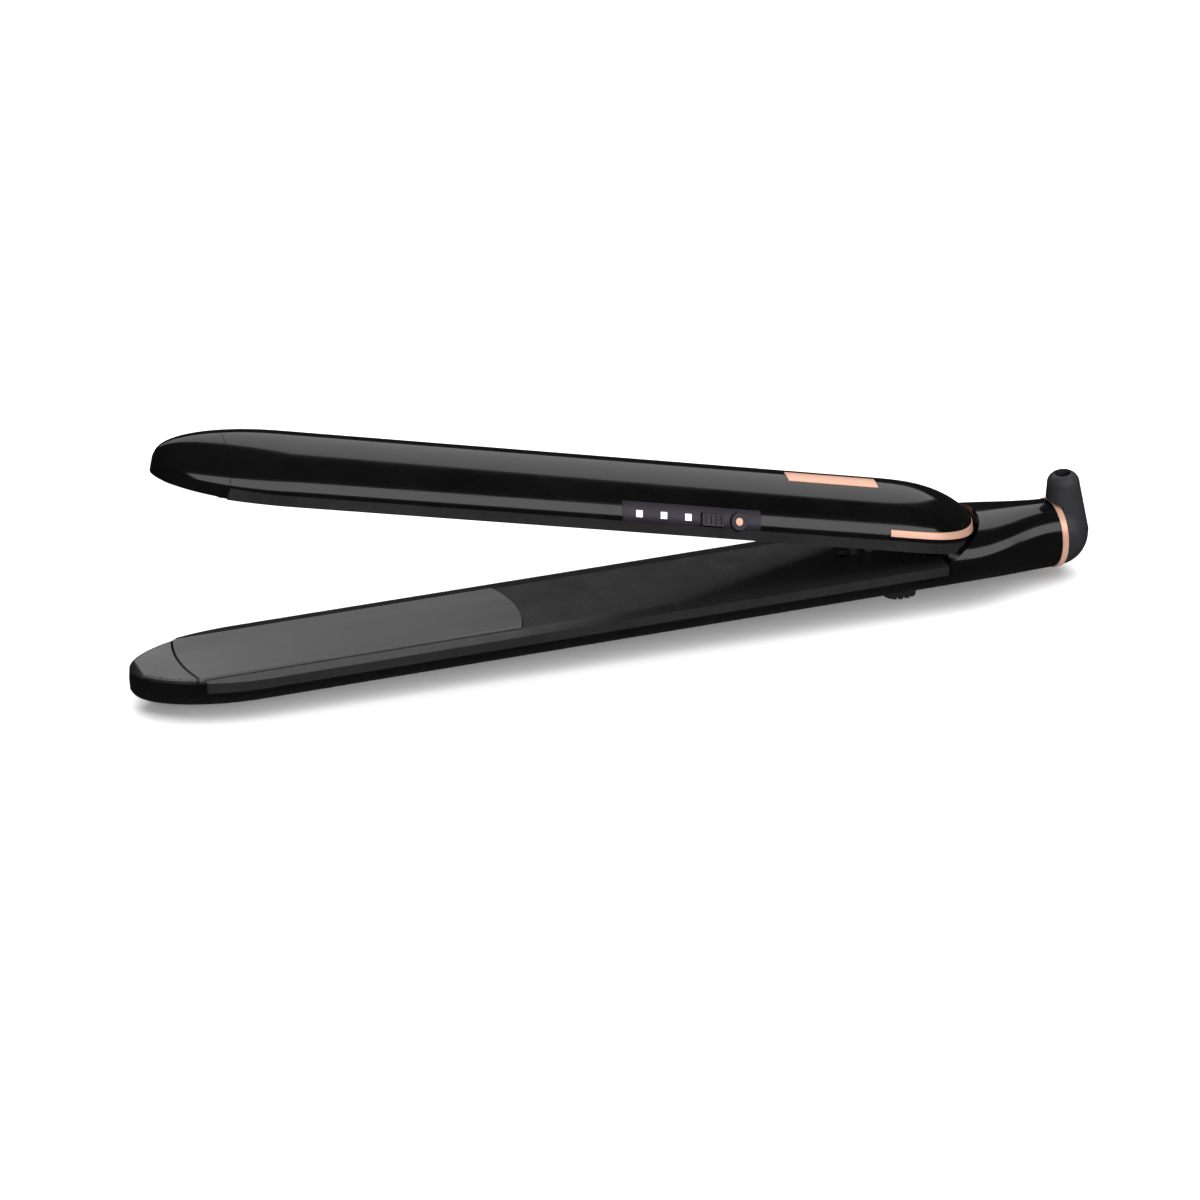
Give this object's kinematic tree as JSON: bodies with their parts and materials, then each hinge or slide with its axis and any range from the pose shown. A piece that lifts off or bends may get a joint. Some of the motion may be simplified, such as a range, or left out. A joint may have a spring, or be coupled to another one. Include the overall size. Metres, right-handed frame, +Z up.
{
  "type": "hair straightening iron",
  "caption": "Slim hinged hair-straightening iron, held open, with floating heating plates, a key panel, a slide lock under the lower arm and a swivelling cord neck.",
  "frame": {"origin": "centre of the bounding box's bottom face, at rest with the arms held open", "axes": "+X runs along the lower arm from its tip to the cord swivel, +Z is up, and the key panel faces -Y"},
  "size_m": [0.2907, 0.0347, 0.0836],
  "materials": {
    "black_gloss_plastic": "piano gloss black",
    "heat_resistant_plastic": "satin black, glass-filled",
    "grey_cover_plastic": "dark grey, glossy",
    "ceramic_coated_aluminium": "dark grey ceramic coat, glossy",
    "rose_gold": "rose-gold plating",
    "matte_black_plastic": "fine matte black",
    "panel_plastic": "very dark purple-black gloss",
    "lens_white": "translucent white",
    "steel": "bare steel",
    "spring_steel": "bare spring wire",
    "bronze": "bare contact bronze",
    "rubber": "soft black rubber",
    "heater_ceramic": "white ceramic and film",
    "board": "green solder mask",
    "chip": "black moulded packages",
    "wire_silicone": "silicone sleeved wire",
    "bush_plastic": "natural acetal"
  },
  "bodies": {
    "lower_arm": {"lower_shell": "black_gloss_plastic", "lower_inner_cover": "grey_cover_plastic", "lower_tip_cap": "heat_resistant_plastic", "lower_tip_pad": "grey_cover_plastic", "lower_plate_tray": "heat_resistant_plastic", "lower_plate_springs": "spring_steel", "lower_tray_screws": "steel", "lower_leads": "wire_silicone", "tail_cover": "black_gloss_plastic", "tail_ring": "rose_gold", "tail_screws": "steel", "hinge_bracket": "steel", "bracket_screws": "steel", "hinge_pin": "steel", "torsion_spring": "spring_steel", "guide_post": "rubber", "contact_brushes": "bronze", "swivel_bush": "bush_plastic"},
    "upper_arm": {"upper_shell": "black_gloss_plastic", "upper_inner_cover": "grey_cover_plastic", "upper_tip_cap": "heat_resistant_plastic", "upper_tip_pad": "grey_cover_plastic", "upper_plate_tray": "heat_resistant_plastic", "upper_plate_springs": "spring_steel", "upper_tray_screws": "steel", "upper_leads": "wire_silicone", "rear_trim": "rose_gold", "top_badge": "rose_gold", "control_panel": "panel_plastic", "indicator_lenses": "lens_white", "switch_board": "board", "tact_switches": "chip", "main_pcb": "board", "pcb_components": "chip", "hinge_bush": "bush_plastic"},
    "lower_heating_plate": {"lower_plate": "ceramic_coated_aluminium", "lower_heater": "heater_ceramic", "lower_thermistor": "heater_ceramic"},
    "upper_heating_plate": {"upper_plate": "ceramic_coated_aluminium", "upper_heater": "heater_ceramic", "upper_thermistor": "heater_ceramic"},
    "cord_swivel": {"swivel_elbow": "matte_black_plastic", "swivel_circlip": "steel", "slip_rings": "bronze"},
    "plate_lock": {"lock_knob": "matte_black_plastic", "lock_hook": "heat_resistant_plastic"},
    "power_key": {"power_button": "panel_plastic", "power_button_mark": "rose_gold"},
    "mode_key": {"mode_button": "panel_plastic"}
  },
  "joints": [
    {"name": "arm_hinge", "type": "hinge", "parent": "lower_arm", "child": "upper_arm", "pos_m": [0.0994, 0, 0.0164], "axis": [0, -1, 0], "range_deg": [0, 13.5], "stiffness_Nm_per_rad": 0.5, "springref_deg": -34.38, "deforming": ["torsion_spring"]},
    {"name": "lower_plate_press", "type": "slide", "parent": "lower_arm", "child": "lower_heating_plate", "axis": [0, 0, -1], "range_m": [0, 0.0008], "stiffness_N_per_m": 2000, "springref_m": -0.0015, "deforming": ["lower_plate_springs"]},
    {"name": "upper_plate_press", "type": "slide", "parent": "upper_arm", "child": "upper_heating_plate", "axis": [0.2334, 0, 0.9724], "range_m": [0, 0.0008], "stiffness_N_per_m": 2000, "springref_m": -0.0015, "deforming": ["upper_plate_springs"]},
    {"name": "cord_swivel_turn", "type": "hinge", "parent": "lower_arm", "child": "cord_swivel", "pos_m": [0.1294, 0, 0.0117], "axis": [1, 0, 0], "continuous": true},
    {"name": "lock_slide", "type": "slide", "parent": "lower_arm", "child": "plate_lock", "axis": [-1, 0, 0], "range_m": [0, 0.003]},
    {"name": "power_key_press", "type": "slide", "parent": "upper_arm", "child": "power_key", "axis": [-0.1237, 0.848, -0.5153], "range_m": [0, 0.0005], "stiffness_N_per_m": 500, "springref_m": -0.001},
    {"name": "mode_key_press", "type": "slide", "parent": "upper_arm", "child": "mode_key", "axis": [-0.1237, 0.848, -0.5153], "range_m": [0, 0.0005], "stiffness_N_per_m": 500, "springref_m": -0.001}
  ]
}
